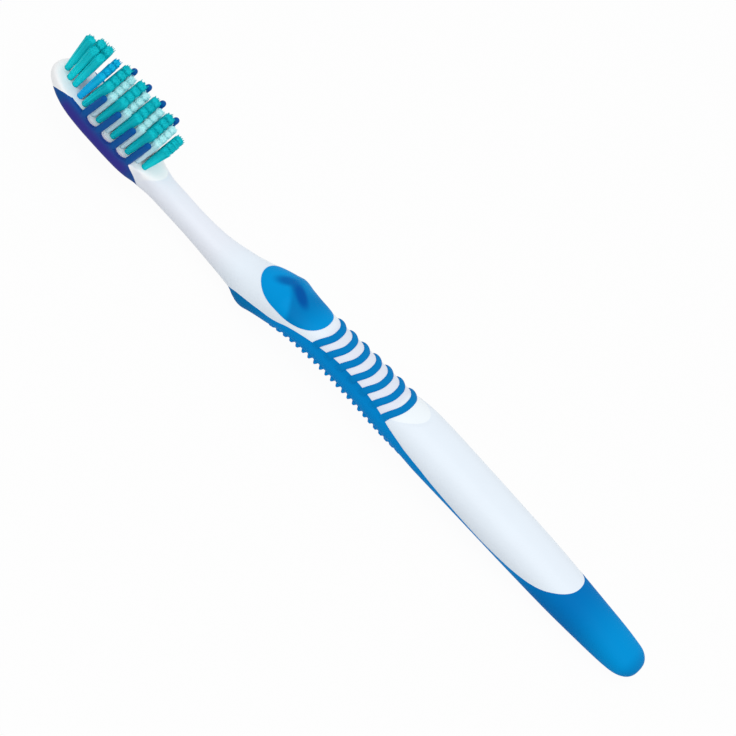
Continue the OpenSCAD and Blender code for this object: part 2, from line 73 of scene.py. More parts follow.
# Neck sections: place in the neck's length, width, height of the middle and thickness
NECK_SHARES = [
    (0.1, 1.014, 1.201, 0.986), (0.3, 0.964, 1.098, 0.95), (0.53, 0.967, 0.998, 0.953),
    (0.76, 1.105, 0.961, 1.077),
]
# Handle sections: place in the handle's length, half width in half the grip's width, top and
# bottom in the grip's height
HANDLE_SHARES = [
    (0, 0.7, 0.677, 0.073), (0.014, 0.772, 0.714, 0.02), (0.028, 0.828, 0.765, -0.022),
    (0.041, 0.862, 0.817, -0.018), (0.057, 0.895, 0.869, 0.05), (0.074, 0.916, 0.925, 0.108),
    (0.092, 0.934, 0.985, 0.159), (0.116, 0.883, 0.949, 0.229), (0.143, 0.833, 0.914, 0.277),
    (0.197, 0.784, 0.9, 0.307), (0.286, 0.812, 0.902, 0.286), (0.365, 0.884, 0.882, 0.222),
    (0.385, 0.911, 0.901, 0.21), (0.413, 0.943, 0.928, 0.194), (0.437, 0.955, 0.929, 0.173),
    (0.464, 0.963, 0.922, 0.149), (0.552, 0.965, 0.878, 0.117), (0.641, 0.953, 0.817, 0.077),
    (0.73, 0.922, 0.762, 0.03), (0.809, 0.873, 0.69, -0.004), (0.872, 0.798, 0.637, -0.024),
    (0.93, 0.752, 0.567, -0.014), (0.963, 0.708, 0.508, 0.02), (0.982, 0.62, 0.482, 0.062),
    (0.993, 0.47, 0.437, 0.11), (1, 0.24, 0.37, 0.18),
]
# Parting line of white and blue in side view: place in the handle's length, height in the grip's
PARTING_SHARES = [
    (0.0016, 0.228), (0.0195, 0.336), (0.0605, 0.449), (0.0885, 0.513), (0.108, 0.56),
    (0.126, 0.622), (0.16, 0.69), (0.203, 0.744), (0.229, 0.766), (0.267, 0.771), (0.3, 0.757),
    (0.34, 0.708), (0.369, 0.655), (0.407, 0.598), (0.427, 0.56), (0.468, 0.508), (0.5, 0.452),
    (0.556, 0.368), (0.603, 0.318), (0.645, 0.291), (0.697, 0.309), (0.734, 0.353),
    (0.757, 0.403), (0.775, 0.464), (0.792, 0.54), (0.8055, 0.6), (0.8155, 0.647),
    (0.8225, 0.685),
]
# Rim of the sleeve in side view: place in the head's length, and height over the bristle face in
# the head's thickness
FRONT_RIM_SHARES = [(0.1, -0.5), (0.118, -0.37), (0.165, -0.16), (0.21, -0.035), (0.31, 0.02)]
BACK_RIM_SHARES = [(0.825, 0.04), (0.86, -0.12), (0.915, -0.36), (0.975, -0.74), (1.005, -1.2)]
# Places of the head plate's sections in the head's length
PLATE_SHARES = [0.012, 0.056, 0.112, 0.18, 0.28, 0.42, 0.56, 0.69, 0.81, 0.885, 0.955, 1.01]


def along_head(share):
    return NOSE_X + share * HEAD_LEN


def along_handle(share):
    return HANDLE_X + share * HANDLE_LEN


def head_z(x):
    return HEAD_ROOT_Z + (HEAD_END_X - x) * math.tan(HEAD_TILT * DEG)


def stations():
    """Place, half width, top, bottom and roundness of the top of each section."""
    rows = []
    for place, half, top, depth, n in HEAD_SHARES:
        x = along_head(place)
        z = head_z(x)
        rows.append((x, half * HEAD_W / 2, z - top * HEAD_T, z - depth * HEAD_T, n))
    for place, width, mid, thick in NECK_SHARES:
        z, h = mid * NECK_Z, thick * NECK_T / 2
        rows.append((HEAD_END_X + place * NECK_LEN, width * NECK_W / 2, z + h, z - h,
                     BACK_ROUNDNESS))
    for place, half, top, low in HANDLE_SHARES:
        rows.append((along_handle(place), half * GRIP_W / 2, top * GRIP_H, low * GRIP_H,
                     FRONT_ROUNDNESS))
    return np.array(rows, float)


def slopes(rows):
    """Change of each section value along the body, from the neighbours of each section."""
    i = np.arange(len(rows))
    change = rows[np.minimum(i + 1, len(rows) - 1)] - rows[np.maximum(i - 1, 0)]
    return change / change[:, :1]


STATIONS = stations()
SLOPES = slopes(STATIONS)


def sections(x):
    """Half width, top, bottom and roundness of the top at each place, by smooth curves."""
    x = np.asarray(x, float)
    i = np.clip(np.searchsorted(STATIONS[:, 0], x, "right") - 1, 0, len(STATIONS) - 2)
    w = (STATIONS[i + 1, 0] - STATIONS[i, 0])[..., None]
    u = (x[..., None] - STATIONS[i, 0:1]) / w
    value = ((2 * u**3 - 3 * u**2 + 1) * STATIONS[i] + (u**3 - 2 * u**2 + u) * w * SLOPES[i]
             + (3 * u**2 - 2 * u**3) * STATIONS[i + 1] + (u**3 - u**2) * w * SLOPES[i + 1])
    return value[..., 1:]


def clamp(v):
    """Value held between 0 and 1."""
    return min(1, max(0, v))


def ease(v, start, end):
    """Smooth rise from 0 at the start to 1 at the end."""
    u = clamp((v - start) / (end - start))
    return u * u * (3 - 2 * u)


def circle(count):
    """Angles spread evenly round a circle."""
    return np.arange(count) * math.pi / (count / 2)


def spow(v, e):
    """Power of a number that keeps its sign."""
    return np.sign(v) * np.abs(v) ** e


def skin_point(x, t, lift=0.0):
    """Point of the body's surface at angle t (0 is the side, 90 the top), lifted off it."""
    x, t = np.broadcast_arrays(np.asarray(x, float), np.asarray(t, float) * DEG)
    half, top, low, front = np.moveaxis(sections(x), -1, 0)
    n = np.where(np.sin(t) >= 0, front, BACK_ROUNDNESS)
    h = (top - low) / 2
    p = np.stack([x, half * spow(np.cos(t), 2 / n),
                  (top + low) / 2 + h * spow(np.sin(t), 2 / n)], -1)
    normal = skin_normal(x, t / DEG)
    return p + np.asarray(lift)[..., None] * normal


def skin_normal(x, t):
    """Outward direction of the body's surface at angle t."""
    x, t = np.broadcast_arrays(np.asarray(x, float), np.asarray(t, float) * DEG)
    half, top, low, front = np.moveaxis(sections(x), -1, 0)
    n = np.where(np.sin(t) >= 0, front, BACK_ROUNDNESS)
    v = np.stack([np.zeros_like(x), spow(np.cos(t), 2 - 2 / n) / half,
                  spow(np.sin(t), 2 - 2 / n) / ((top - low) / 2)], -1)
    return v / np.linalg.norm(v, axis=-1, keepdims=True)


def even_ring(x, half, top, low, n_top, n_low=BACK_ROUNDNESS):
    """Closed section with its points spread evenly round it."""
    t = circle(SECTION_SIDES)
    c, s = np.cos(t), np.sin(t)
    n = np.where(s >= 0, n_top, n_low)
    r = (np.abs(c) ** n + np.abs(s) ** n) ** (-1 / n)
    return np.stack([np.full(SECTION_SIDES, x), half * r * c,
                     (top + low) / 2 + (top - low) / 2 * r * s], -1)


# Meshes

def new_object(name, points, faces):
    """Object of a mesh whose points are in millimetres."""
    mesh = bpy.data.meshes.new(name)
    mesh.from_pydata((np.asarray(points) * MM).tolist(), [], faces)
    mesh.update()
    o = bpy.data.objects.new(name, mesh)
    scene.collection.objects.link(o)
    return o


def outward(o):
    """Turns all faces outward."""
    bm = bmesh.new()
    bm.from_mesh(o.data)
    bmesh.ops.recalc_face_normals(bm, faces=bm.faces)
    bm.to_mesh(o.data)
    bm.free()
    return o


def loft_faces(m, n):
    """Faces between m rings of n points, and from each end ring to the middle of its end."""
    faces = []
    for i in range(m - 1):
        for j in range(n):
            k = (j + 1) % n
            faces.append((i * n + j, (i + 1) * n + j, (i + 1) * n + k, i * n + k))
    for j in range(n):
        k = (j + 1) % n
        faces.append((m * n, j, k))
        faces.append((m * n + 1, (m - 1) * n + k, (m - 1) * n + j))
    return faces


def tube_faces(first, count, n):
    """Faces of a closed tube of rings of n points: its walls, then its two ends."""
    faces = [(first + i * n + j, first + i * n + (j + 1) % n, first + (i + 1) * n + (j + 1) % n,
              first + (i + 1) * n + j) for i in range(count - 1) for j in range(n)]
    last = first + (count - 1) * n
    return faces + [tuple(first + j for j in range(n - 1, -1, -1)),
                    tuple(last + j for j in range(n))]


def loft(name, rings):
    """Closed solid through rings of equal count, each end closed from its middle."""
    rings = np.asarray(rings, float)
    m, n = rings.shape[:2]
    points = np.concatenate([rings.reshape(-1, 3), rings[:1].mean(1), rings[-1:].mean(1)])
    return outward(new_object(name, points, loft_faces(m, n)))


def prism(name, line, half):
    """Side view outline, drawn out to both sides."""
    n = len(line)
    points = [(x, side * half, z) for side in (-1, 1) for x, z in line]
    faces = [tuple(range(n))[::-1], tuple(range(n, 2 * n))]
    faces += [(i, (i + 1) % n, n + (i + 1) % n, n + i) for i in range(n)]
    return outward(new_object(name, points, faces))


def combine(a, b, how):
    """Changes a by b: UNION, DIFFERENCE or INTERSECT. b is used up."""
    m = a.modifiers.new("combine", "BOOLEAN")
    m.operation, m.object, m.solver = how, b, "MANIFOLD"
    graph = bpy.context.evaluated_depsgraph_get()
    mesh = bpy.data.meshes.new_from_object(a.evaluated_get(graph))
    a.modifiers.clear()
    old = a.data
    a.data = mesh
    bpy.data.meshes.remove(old)
    remove(b)
    return a


def union(pieces):
    """Joins pieces into the first one."""
    whole, *others = pieces
    for o in others:
        whole = combine(whole, o, "UNION")
    return whole


def remove(o):
    mesh = o.data
    bpy.data.objects.remove(o)
    bpy.data.meshes.remove(mesh)


def copy_of(o, name):
    c = o.copy()
    c.data = o.data.copy()
    c.name = name
    scene.collection.objects.link(c)
    return c


def smooth_line(points, steps=8):
    """Curve through the points of a side view."""
    p = np.array(points, float)
    p = np.vstack([2 * p[0] - p[1], p, 2 * p[-1] - p[-2]])
    out = []
    for i in range(1, len(p) - 2):
        for k in range(steps):
            u = k / steps
            out.append(0.5 * ((2 * p[i]) + (-p[i - 1] + p[i + 1]) * u
                              + (2 * p[i - 1] - 5 * p[i] + 4 * p[i + 1] - p[i + 2]) * u**2
                              + (-p[i - 1] + 3 * p[i] - 3 * p[i + 1] + p[i + 2]) * u**3))
    out.append(p[-2])
    return [tuple(q) for q in out]


# Body

# Distance between rings, fine at the round ends and where the smooth oval begins
FINE_STEP, COARSE_STEP = 0.35, 0.8
FINE_HEAD_SHARE, FINE_TAIL_SHARE, FINE_OVAL_START, FINE_OVAL_END = 0.17, 0.9, 11, 25
NOSE_BEND, NOSE_RINGS, TAIL_BEND, TAIL_RINGS = 2, 8, 2.6, 24
TANGENT_STEP = 0.2
# Block that cuts the body flat where it rests
UNDER_REACH, UNDER_DEPTH = 5, 9


def body_places():
    """Places of the body's rings."""
    places = []
    for a, b in zip(STATIONS[:-1, 0], STATIONS[1:, 0]):
        fine = (a < along_head(FINE_HEAD_SHARE) or b > along_handle(FINE_TAIL_SHARE)
                or FINE_OVAL_START < a < FINE_OVAL_END)
        count = max(1, math.ceil((b - a) / (FINE_STEP if fine else COARSE_STEP)))
        places += [a + (b - a) * k / count for k in range(count)]
    return places[1:]


def end_rings(x_from, x_to, bend, count):
    """Rings that round the body off from a place to its end."""
    start = sections(x_from)
    slope = (start - sections(x_from - TANGENT_STEP * np.sign(x_to - x_from))) / TANGENT_STEP
    rings = []
    for k in range(1, count + 1):
        u = math.sin(k / (count + 0.5) * math.pi / 2)
        x, c = x_from + (x_to - x_from) * u, (1 - u**bend) ** (1 / bend)
        half, top, low, n = start + slope * abs(x - x_from)
        _, end_top, end_low, _ = sections(x)
        mid, h = (end_top + end_low) / 2, (top - low) / 2 * c
        rings.append(even_ring(x, half * c, mid + h, mid - h, n))
    return rings


def make_body(name):
    nose, tail = STATIONS[1, 0], STATIONS[-4, 0]
    rings = end_rings(nose, NOSE_X, NOSE_BEND, NOSE_RINGS)[::-1]
    rings += [even_ring(x, *sections(x)) for x in body_places() if nose <= x <= tail]
    rings += end_rings(tail, TAIL_X, TAIL_BEND, TAIL_RINGS)
    start, end = NOSE_X - UNDER_REACH, TAIL_X + UNDER_REACH
    under = prism(name + "_under", [(start, -UNDER_DEPTH), (end, -UNDER_DEPTH), (end, 0),
                                    (start, 0)], GRIP_W)
    return combine(loft(name, rings), under, "DIFFERENCE")


TANG_START, TANG_LEN, TANG_STEPS = -0.005, 0.953, 90


def make_tang(name):
    """White tang inside the soft skin of the grip."""
    rings = []
    for i in range(TANG_STEPS + 1):
        x = along_handle(TANG_START + TANG_LEN * i / TANG_STEPS)
        half, top, low, n = sections(x)
        rings.append(even_ring(x, half - SKIN_T, top - SKIN_T, low + SKIN_T, n))
    return loft(name, rings)


HEEL_SHARE = -0.004


def parting_zone(name):
    """Space of the blue grip under the parting line."""
    line = [(along_handle(HEEL_SHARE), -OVERRUN)]
    line += smooth_line([(along_handle(a), b * GRIP_H) for a, b in PARTING_SHARES])
    line += [(line[-1][0], GRIP_H + OVERRUN), (TAIL_X + OVERRUN, GRIP_H + OVERRUN),
             (TAIL_X + OVERRUN, -OVERRUN)]
    return prism(name, line, GRIP_W)


RIB_COUNT, RIB_FIRST, RIB_PITCH = 7, 0.2006, 0.0293
RIB_W, RIB_RISE, RIB_DEPTH, RIB_SWEEP, RIB_SPAN, RIB_BEND = 1.7, 0.4, 0.9, 2.05, 68.0, 2.4
# A rib runs from -RIB_END over 0, its crown, to RIB_END, where 1 lies RIB_SPAN degrees down
RIB_STEPS, RIB_SIDES, RIB_END, RIB_REACH, RIB_TANGENT = 56, 12, 1.13, 1.1, 0.01
# Where its ends begin to widen, to swell and to fade, over what run and by what share
RIB_FLARE_START, RIB_FLARE_RUN, RIB_FLARE = 0.74, 0.32, 0.2
RIB_SWELL_START, RIB_SWELL_RUN, RIB_SWELL = 0.45, 0.6, 0.25
RIB_FADE_START, RIB_FADE = 0.92, 0.85


def make_rib(k):
    """Rounded rib that crosses the white front in a bow."""
    def path(u):
        bow = math.sin(math.pi / 2 * min(1, abs(u) / RIB_REACH)) ** RIB_BEND
        x = along_handle(RIB_FIRST + k * RIB_PITCH) - RIB_SWEEP * bow
        return x, 90 - RIB_SPAN * u

    rings = []
    for i in range(RIB_STEPS + 1):
        u = -RIB_END + 2 * RIB_END * i / RIB_STEPS
        x, t = path(u)
        p, ahead = skin_point(x, t), skin_point(*path(u + RIB_TANGENT))
        up = skin_normal(x, t)
        side = np.cross(ahead - p, up)
        side /= np.linalg.norm(side)
        far = clamp((abs(u) - RIB_FLARE_START) / RIB_FLARE_RUN)
        wide = RIB_W * (1 + RIB_FLARE * far * far)
        swell = math.sin(math.pi * clamp((abs(u) - RIB_SWELL_START) / RIB_SWELL_RUN))
        high = 1 + RIB_SWELL * max(0, swell)
        rise = RIB_RISE * high * (1 - RIB_FADE * ease(abs(u), RIB_FADE_START, RIB_END))
        ring = [p - side * wide / 2 - up * RIB_DEPTH * high]
        for j in range(RIB_SIDES + 1):
            a = math.pi * j / RIB_SIDES
            ring.append(p - side * wide / 2 * math.cos(a) + up * rise * math.sin(a))
        ring.append(p + side * wide / 2 - up * RIB_DEPTH * high)
        rings.append(ring)
    return loft(f"rib_{k}", rings)


RIDGE_COUNT, RIDGE_FIRST, RIDGE_PITCH, RIDGE_RISE = 23, 0.1048, 0.01426, 0.8
# Widths of a ridge's foot and crown, in the pitch, of the highest and of the lowest ridges
FOOT_SHARES, CROWN_SHARES = (0.74, 0.94), (0.16, 0.6)
# Run of a ridge round the back, in degrees, and how deep it is let in
RIDGE_STEPS, RIDGE_START, RIDGE_TURN, RIDGE_ROOT = 26, -147, 114, 0.3
# How the ridges' heights rise and fall from the heel to the tail
RIDGE_SKEW, RIDGE_BEND = 0.8, 0.7
# How a ridge fades at its ends
RIDGE_FADE, RIDGE_END_RISE = 12, 0.1
# How its flanks curve, and how much the lowest of three parts of a flank is softened
FLANK_STEPS, FLANK_BEND, FLANK_PARTS, FLANK_SOFT = 4, 1.25, 3, 0.06


def make_ridge(k):
    """Scallop of the grip's edge, which runs round the back."""
    x = along_handle(RIDGE_FIRST + k * RIDGE_PITCH)
    high = math.sin(math.pi * ((k + 0.5) / RIDGE_COUNT) ** RIDGE_SKEW) ** RIDGE_BEND
    foot, crown = (RIDGE_PITCH * HANDLE_LEN * (w[0] * high + w[1] * (1 - high)) / 2
                   for w in (FOOT_SHARES, CROWN_SHARES))
    flank = [(foot - crown) * j / FLANK_STEPS for j in range(FLANK_STEPS + 1)]
    across = [-foot + q for q in flank] + [-crown / 2, 0, crown / 2] + [crown + q for q in flank]
    rings = []
    for i in range(RIDGE_STEPS + 1):
        u = i / RIDGE_STEPS
        t = RIDGE_START + RIDGE_TURN * u
        fade = min(1, RIDGE_FADE * min(u, 1 - u) + RIDGE_END_RISE) ** RIDGE_BEND
        ring = [skin_point(x + foot, t, -RIDGE_ROOT), skin_point(x - foot, t, -RIDGE_ROOT)]
        for q in across:
            down = max(0, (abs(q) - crown) / (foot - crown))
            climb = min(1, FLANK_PARTS * (1 - down))
            soft = 1 - FLANK_SOFT - FLANK_SOFT * math.cos(math.pi * climb)
            lift = RIDGE_RISE * high * fade * (1 - down**FLANK_BEND) * soft
            ring.append(skin_point(x + q, t, lift))
        rings.append(ring)
    return loft(f"ridge_{k}", rings)


# Smooth oval of the front that begins behind the last rib: middle, half sizes and rise
OVAL_X, OVAL_REACH, OVAL_HALF, OVAL_RISE, OVAL_EDGE = 10.95, 10.5, 6.2, 0.16, 1.12
OVAL_START, OVAL_FADE, OVAL_END = 13, 24, 40


def raise_oval(o):
    """Lifts the white front a little where the smooth oval begins."""
    for v in o.data.vertices:
        x, y, z = (c / MM for c in v.co)
        if OVAL_START < x < OVAL_END and z > 0:
            out = ((x - OVAL_X) / OVAL_REACH) ** 2 + (y / OVAL_HALF) ** 2
            lift = OVAL_RISE * ease(out, 1, OVAL_EDGE) * (1 - ease(x, OVAL_FADE, OVAL_END))
            if lift > 0:
                v.co += v.normal * lift * MM


# Thumb pad

# Middle and reach toward the head and the tail, in the handle's length
PAD_PLACE, PAD_HEAD, PAD_TAIL = 0.111, 0.0857, 0.065
# Depth in the front, dish, bulge of the lip, rise of the rim, and margin over the parting line
PAD_DEPTH, PAD_DISH, PAD_LIP, PAD_RIM, PAD_MARGIN = 1.6, 0.55, 0.15, 0.08, 1.85
PAD_HEAD_ROUNDNESS, PAD_TAIL_ROUNDNESS, PAD_LIP_BEND, PAD_DISH_BEND = 1.85, 2.0, 3, 1.3
PAD_SIDES = 120
# Rings of the pad's face and floor, from its middle to its edge
PAD_RADII = [0.06, 0.12, 0.2, 0.28, 0.36, 0.44, 0.52, 0.6, 0.67, 0.74, 0.8, 0.86, 0.91, 0.95,
             0.98, 1]
PAD_FLOOR_RADII = [0.3, 0.6, 0.85, 1]
PAD_AIR_SHARE, PAD_AIR_DROP = 0.985, 0.4
ROUNDING = 1e-9


def pad_side_angle():
    """Angle of the pad's side, a margin above the parting line."""
    x = along_handle(PAD_PLACE)
    _, top, low, _ = sections(x)
    line = np.array(PARTING_SHARES)
    z = np.interp(PAD_PLACE, line[:, 0], line[:, 1]) * GRIP_H + PAD_MARGIN
    share = (z - low) / (top - low) * 2 - 1
    return math.asin(spow(share, FRONT_ROUNDNESS / 2)) / DEG


PAD_SIDE = pad_side_angle()


def pad_ring(r, lift):
    a = circle(PAD_SIDES)
    tailward = np.cos(a) > ROUNDING
    n = np.where(tailward, PAD_TAIL_ROUNDNESS, PAD_HEAD_ROUNDNESS)
    reach = np.where(tailward, PAD_TAIL, PAD_HEAD)
    x = along_handle(PAD_PLACE + reach * r * spow(np.cos(a), 2 / n))
    t = 90 - (90 - PAD_SIDE) * r * spow(np.sin(a), 2 / n)
    return skin_point(x, t, np.full(PAD_SIDES, lift))


def pad_lift(r):
    return (PAD_RIM + PAD_LIP * math.sin(math.pi * r**PAD_LIP_BEND)
            - PAD_DISH * max(0, 1 - r * r) ** PAD_DISH_BEND)


def make_pad(name):
    rings = [pad_ring(r, -PAD_DEPTH) for r in PAD_FLOOR_RADII]
    rings += [pad_ring(r, pad_lift(r)) for r in PAD_RADII[::-1]]
    return loft(name, rings)


def make_pad_air(name):
    """Open space over the pad, so that the white front doesn't fill its dish."""
    rings = [pad_ring(r * PAD_AIR_SHARE, pad_lift(r) - PAD_AIR_DROP) for r in PAD_RADII]
    rings += [pad_ring(r * PAD_AIR_SHARE, OVERRUN) for r in PAD_FLOOR_RADII[::-1]]
    return loft(name, rings)


# Head

SLEEVE_WALL, SLEEVE_FLOOR = 1.0, 1.5
# Fingers: place of the first and distance in the head's length, and how many on a side
FINGER_FIRST, FINGER_PITCH, FINGER_COUNT = 0.3922, 0.1455, 4
FINGER_LEN, FINGER_W, FINGER_SPREAD, FINGER_INSET, FINGER_ROOT = 9.3, 1.75, 1.0, 0.85, 2.0
FINGER_LEAN, FINGER_TAPER, FINGER_SIDES, FINGER_RINGS, FINGER_TIP_RINGS = 2.5, 0.06, 24, 14, 9
# Height of a finger's second ring, and the angles, in radians, over which its tip is rounded
FINGER_START, TIP_START, TIP_END = -1.5, 0.15, 1.5
DIP_DEPTH, DIP_SIDES = 0.9, 40
PLATE_RINGS, PLATE_ROUNDNESS, PLATE_BACK_ROUNDNESS = 60, 9, 6
RIM_STEPS = 6


def plate_half(x):
    return float(sections(x)[0]) - SLEEVE_WALL


def make_plate(name):
    """White plate inside the sleeve, with upright sides and a square back."""
    line = np.array([(along_head(p), plate_half(along_head(p))) for p in PLATE_SHARES])
    rings = []
    for x in np.linspace(line[0, 0], line[-1, 0], PLATE_RINGS):
        half = np.interp(x, line[:, 0], line[:, 1])
        rings.append(even_ring(x, half, head_z(x) + HEAD_T - SLEEVE_FLOOR,
                               head_z(x) - HEAD_T + SLEEVE_FLOOR, PLATE_ROUNDNESS,
                               PLATE_BACK_ROUNDNESS))
    return loft(name, rings)


def rim_line(shares):
    return smooth_line([(along_head(a), head_z(along_head(a)) + b * HEAD_T) for a, b in shares],
                       RIM_STEPS)


def sleeve_outline():
    front, back = rim_line(FRONT_RIM_SHARES), rim_line(BACK_RIM_SHARES)
    return [(front[0][0], -OVERRUN)] + front + back + [(back[-1][0], -OVERRUN)]


def on_face(x, y):
    """Place of something that stands on the bristle face."""
    return (Matrix.Translation(Vector((x, y, head_z(x))) * MM)
            @ Matrix.Rotation(HEAD_TILT * DEG, 4, "Y"))


def finger_x(k):
    return along_head(FINGER_FIRST + k * FINGER_PITCH)


def make_finger(k, side):
    rings = []
    r = FINGER_W / 2
    tip_z = FINGER_LEN - r
    levels = [(-FINGER_ROOT, 1.0)] + [(z, 1.0 - FINGER_TAPER * max(0, z) / FINGER_LEN)
                                      for z in np.linspace(FINGER_START, tip_z, FINGER_RINGS)]
    levels += [(tip_z + r * math.sin(a), (1 - FINGER_TAPER) * math.cos(a))
               for a in np.linspace(TIP_START, TIP_END, FINGER_TIP_RINGS)]
    for z, wide in levels:
        y = side * FINGER_SPREAD * max(0, (z + FINGER_ROOT) / (FINGER_LEN + FINGER_ROOT))
        out = math.tan(FINGER_LEAN * DEG) * z
        rings.append([(out + r * wide * math.cos(a), y + r * wide * math.sin(a), z)
                      for a in circle(FINGER_SIDES)])
    o = loft(f"finger_{k}_{side}", rings)
    x = finger_x(k)
    o.data.transform(on_face(x, side * (float(sections(x)[0]) - FINGER_INSET)))
    return o


def make_dip(k):
    """Hollow in the sleeve's rim between two fingers."""
    x = (finger_x(k) + finger_x(k + 1)) / 2
    wide = (finger_x(1) - finger_x(0) - FINGER_W) / 2
    line = [(wide * math.cos(a), DIP_DEPTH * math.sin(a)) for a in circle(DIP_SIDES)]
    o = prism(f"dip_{k}", line, HEAD_W)
    o.data.transform(on_face(x, 0))
    return o


# Tufts

Tuft = namedtuple("Tuft", "name x y length lean kind along across")
TUFT_D, HOLE_DEPTH, TUFT_MARGIN, ANCHOR_H, HOLE_SIDES = 1.6, 3.2, 0.3, 1.2, 24
TIP_GAP, STRAND_W = 0.065, 0.46
# Heights, and leans toward the tail in degrees
POINT_LEN, BLUE_LEN, TEAL_LEN, CLEAR_LEN, END_LEN = 12.2, 10.2, 10.7, 9.4, 9.3
POINT_LEANS = (-6.2, -4.5, -4.5, -3.5, -3.5)
BLUE_LEAN, TEAL_LEAN, CLEAR_LEAN, END_LEAN = -0.5, 3.8, 0, 4.2
# Places and distances of the rows, in the head's length
POINT_FIRST, POINT_PITCH, POINT_ROWS = 0.085, 0.0591, (0, 1, 1, 2, 2)
BLUE_FIRST, TEAL_FIRST, ROW_PITCH, CLEAR_OFFSET, END_OFFSET = 0.2838, 0.3451, 0.1448, 0.0891, 0.0654
ROW_COUNT = 4
# Places and widths across the head, in the room beside the sleeve
COLUMNS, POINT_SIDE = (-1, -1 / 3, 1 / 3, 1), 0.47
POINT_SIDES = (0, -POINT_SIDE, POINT_SIDE, -POINT_SIDE, POINT_SIDE)
BLUE_WIDTH, ROW_WIDTH, END_WIDTH = 0.75, 0.87, 1
# How much of the room to the next row and to the next column the tips fill
POINT_OPEN, TEAL_OPEN, CLEAR_OPEN, SIDE_OPEN = 0.95, 0.9, 0.3, 0.65


def column_y(x):
    return plate_half(x) - TUFT_D / 2 - TUFT_MARGIN


def opened(room, share):
    """Splay of a tuft whose tips open by a share of the room that they have."""
    return 1 + share * ((room - TIP_GAP - STRAND_W) / (TUFT_D - STRAND_W) - 1)


def tan_between(lean, other):
    return math.tan(lean * DEG) - math.tan(other * DEG)


def list_tufts():
    tufts = []
    room = HEAD_LEN * POINT_PITCH + POINT_LEN * tan_between(POINT_LEANS[3], POINT_LEANS[1])
    for i, (row_number, side, lean) in enumerate(zip(POINT_ROWS, POINT_SIDES, POINT_LEANS), 1):
        x = along_head(POINT_FIRST + row_number * POINT_PITCH)
        tufts.append(Tuft(f"point_tuft_{i}", x, side * column_y(x), POINT_LEN, lean, "teal",
                          opened(room, POINT_OPEN),
                          opened(2 * POINT_SIDE * column_y(x), SIDE_OPEN)))

    row_room = HEAD_LEN * CLEAR_OFFSET - CLEAR_LEN * tan_between(TEAL_LEAN, CLEAR_LEAN)

    def row(label, place, length, lean, kind, width, share):
        x = along_head(place)
        side_room = column_y(x) * width * 2 / 3
        for c, column in enumerate(COLUMNS, 1):
            tufts.append(Tuft(f"{label}_{c}", x, column * column_y(x) * width, length, lean,
                              kind, opened(row_room, share), opened(side_room, SIDE_OPEN)))

    row("blue_tuft", BLUE_FIRST, BLUE_LEN, BLUE_LEAN, "blue", BLUE_WIDTH, CLEAR_OPEN)
    for r in range(ROW_COUNT):
        row(f"teal_tuft_{r + 1}", TEAL_FIRST + r * ROW_PITCH, TEAL_LEN, TEAL_LEAN, "teal",
            ROW_WIDTH, TEAL_OPEN)
    for r in range(ROW_COUNT):
        row(f"clear_tuft_{r + 1}", TEAL_FIRST + CLEAR_OFFSET + r * ROW_PITCH, CLEAR_LEN,
            CLEAR_LEAN, "clear", ROW_WIDTH, CLEAR_OPEN)
    row("end_tuft", TEAL_FIRST + CLEAR_OFFSET + (ROW_COUNT - 1) * ROW_PITCH + END_OFFSET,
        END_LEN, END_LEAN, "teal", END_WIDTH, TEAL_OPEN)
    return tufts


TUFTS = list_tufts()


def at_tuft(t):
    """Place of something in a tuft's hole, with the tuft's lean."""
    return on_face(t.x, t.y) @ Matrix.Rotation(t.lean * DEG, 4, "Y")


def placed(m, x, y, z):
    """Point in millimetres, moved by a matrix that is in metres."""
    return [c / MM for c in m @ (Vector((x, y, z)) * MM)]


def make_holes(name):
    points, faces = [], []
    n = HOLE_SIDES
    for t in TUFTS:
        first = len(points)
        points += [placed(at_tuft(t), TUFT_D / 2 * math.cos(a), TUFT_D / 2 * math.sin(a), z)
                   for z in (-HOLE_DEPTH, OVERRUN) for a in circle(n)]
        faces += tube_faces(first, 2, n)
    return outward(new_object(name, points, faces))


FILAMENTS, FILAMENT_D, FILAMENT_SIDES = 42, 0.19, 6
# Levels of a filament over its hole: share of its height or drop from its tip, and width
FILAMENT_SHARES, FILAMENT_TIP = [(0.35, 1), (0.7, 0.98)], [(0.16, 0.95), (0.04, 0.7), (0, 0.25)]
# Turn from one filament to the next, in radians, how far a filament strays from its turn, its
# spread and its height, and how much lower the outer ones end
GOLDEN_ANGLE = 2.39996
TURN_JITTER, ALONG_JITTER, ACROSS_JITTER, TIP_JITTER, TIP_ROUND = 0.1, 0.07, 0.1, 0.5, 0.12
# The filled middle of a tuft: width in the filaments' spread, drop from the tips, and levels
CORE_SIDES, CORE_W, CORE_TOP = 16, 0.92, 0.48
CORE_SHARES = [(0.3, 1), (0.6, 1), (0.9, 1), (0.97, 0.93), (1, 0.76)]
# A tuft swells just out of its hole, and then opens by a power of the height
SWELL, SWELL_HEIGHT, OPEN_BEND = 0.16, 0.6, 1.1
# How square its opened outline is, where 2 gives an oval
SQUARENESS = 4
# How much wider it opens than the source's strands do: along the brush, where a tuft or a kind
# can have its own value, and across
WIDER_ALONG, PLAIN_WIDER_ALONG, WIDER_ACROSS = {"point_tuft_1": 1.35, "clear": 1.2}, 1.12, 1.1
TUFT_SEED = 100


def squared(a):
    """Reach of a squarish outline at an angle, where a circle has 1."""
    return (abs(math.cos(a)) ** SQUARENESS + abs(math.sin(a)) ** SQUARENESS) ** (-1 / SQUARENESS)


def swelled(z):
    return 1 + SWELL * clamp(z / SWELL_HEIGHT)


